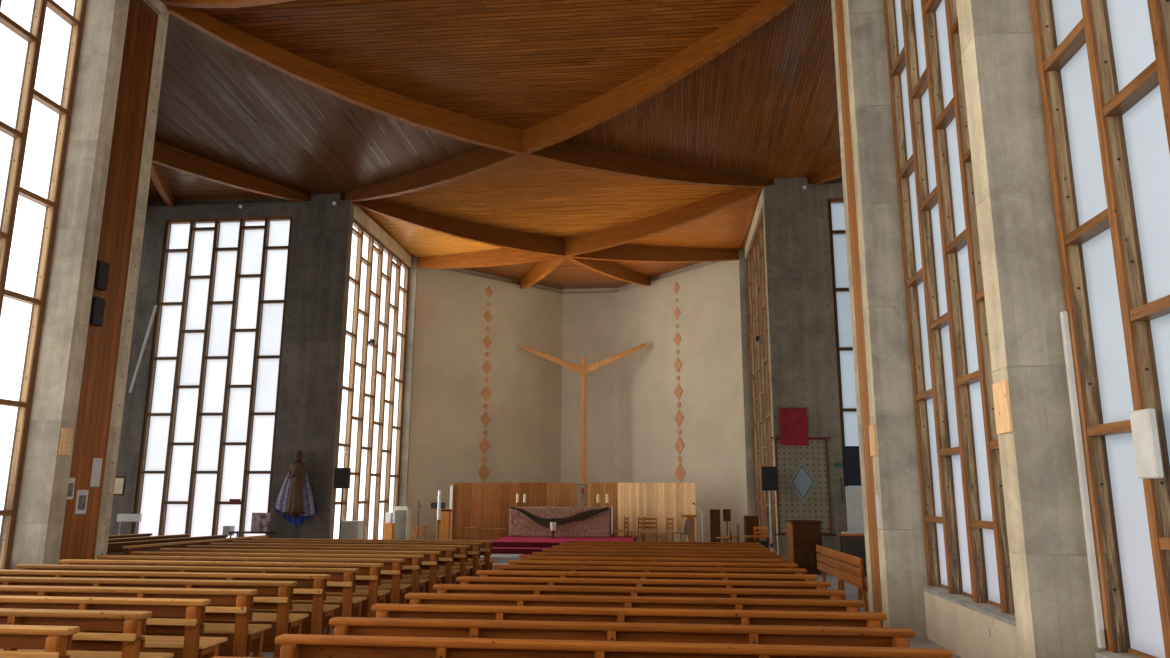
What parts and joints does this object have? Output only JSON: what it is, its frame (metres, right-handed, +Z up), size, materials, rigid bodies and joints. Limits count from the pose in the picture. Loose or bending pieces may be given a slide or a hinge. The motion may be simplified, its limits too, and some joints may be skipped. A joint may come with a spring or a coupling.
{
  "type": "modern church building",
  "caption": "Modern church hall with transepts, concrete piers, timber-framed opal windows and a sagging boarded timber ceiling on crossing ribs.",
  "frame": {"origin": "centre of the floor slab's box in plan, at the underside of the slab", "axes": "+Y along the hall from the entrance to the altar, +Z up, +X to the right facing the altar"},
  "size_m": [25.8, 34.48, 11.1],
  "materials": {
    "concrete": "board-formed concrete with tie holes",
    "floor_finish": "matt grey floor",
    "plaster": "painted render",
    "altar_stone": "rough stone",
    "carpet": "short pile carpet",
    "timber_lattice": "weathered timber bars, with opal panes behind them",
    "brown_panel": "varnished boards",
    "ceiling_boards": "varnished narrow boards",
    "rib_timber": "varnished laminated timber",
    "pine": "varnished pine"
  },
  "bodies": {
    "root": {"altar": "altar_stone", "altar_screen": "pine", "altar_steps": "carpet", "ambo": "plaster", "apse_pier_left": "concrete", "apse_pier_right": "concrete", "apse_wall": "plaster", "bench": "pine", "cabinet": "brown_panel", "chancel_beam_left": "concrete", "chancel_beam_right": "concrete", "chancel_platform": "floor_finish", "chancel_ribs": "rib_timber", "chancel_roof": "ceiling_boards", "chancel_window_left": "timber_lattice", "chancel_window_right": "timber_lattice", "cross": "pine", "crossing_ribs": "rib_timber", "entrance_beam": "concrete", "entrance_doors": "brown_panel", "entrance_lintel": "concrete", "entrance_wall_left": "concrete", "entrance_wall_right": "concrete", "entrance_window": "timber_lattice", "floor_slab": "floor_finish", "nave_beam_left": "concrete", "nave_beam_right": "concrete", "nave_pier_1_left": "concrete", "nave_pier_1_right": "concrete", "nave_pier_2_left": "concrete", "nave_pier_2_right": "concrete", "nave_pier_3_left": "concrete", "nave_pier_3_right": "concrete", "nave_plinth_left": "concrete", "nave_plinth_right": "concrete", "nave_ribs": "rib_timber", "nave_roof": "ceiling_boards", "nave_window_left": "timber_lattice", "nave_window_right": "timber_lattice", "pews_left": "pine", "pews_right": "pine", "pier_infill_left": "brown_panel", "pier_infill_right": "brown_panel", "side_pews": "pine", "transept_end_window_left": "timber_lattice", "transept_end_window_right": "timber_lattice", "transept_far_window_left": "timber_lattice", "transept_far_window_right": "timber_lattice", "transept_frame_left": "concrete", "transept_frame_right": "concrete", "transept_near_wall_left": "concrete", "transept_near_wall_right": "concrete", "transept_ribs_left": "rib_timber", "transept_ribs_right": "rib_timber", "transept_roof_left": "ceiling_boards", "transept_roof_right": "ceiling_boards", "transept_slab_wall_left": "concrete", "transept_slab_wall_right": "concrete"}
  },
  "joints": []
}
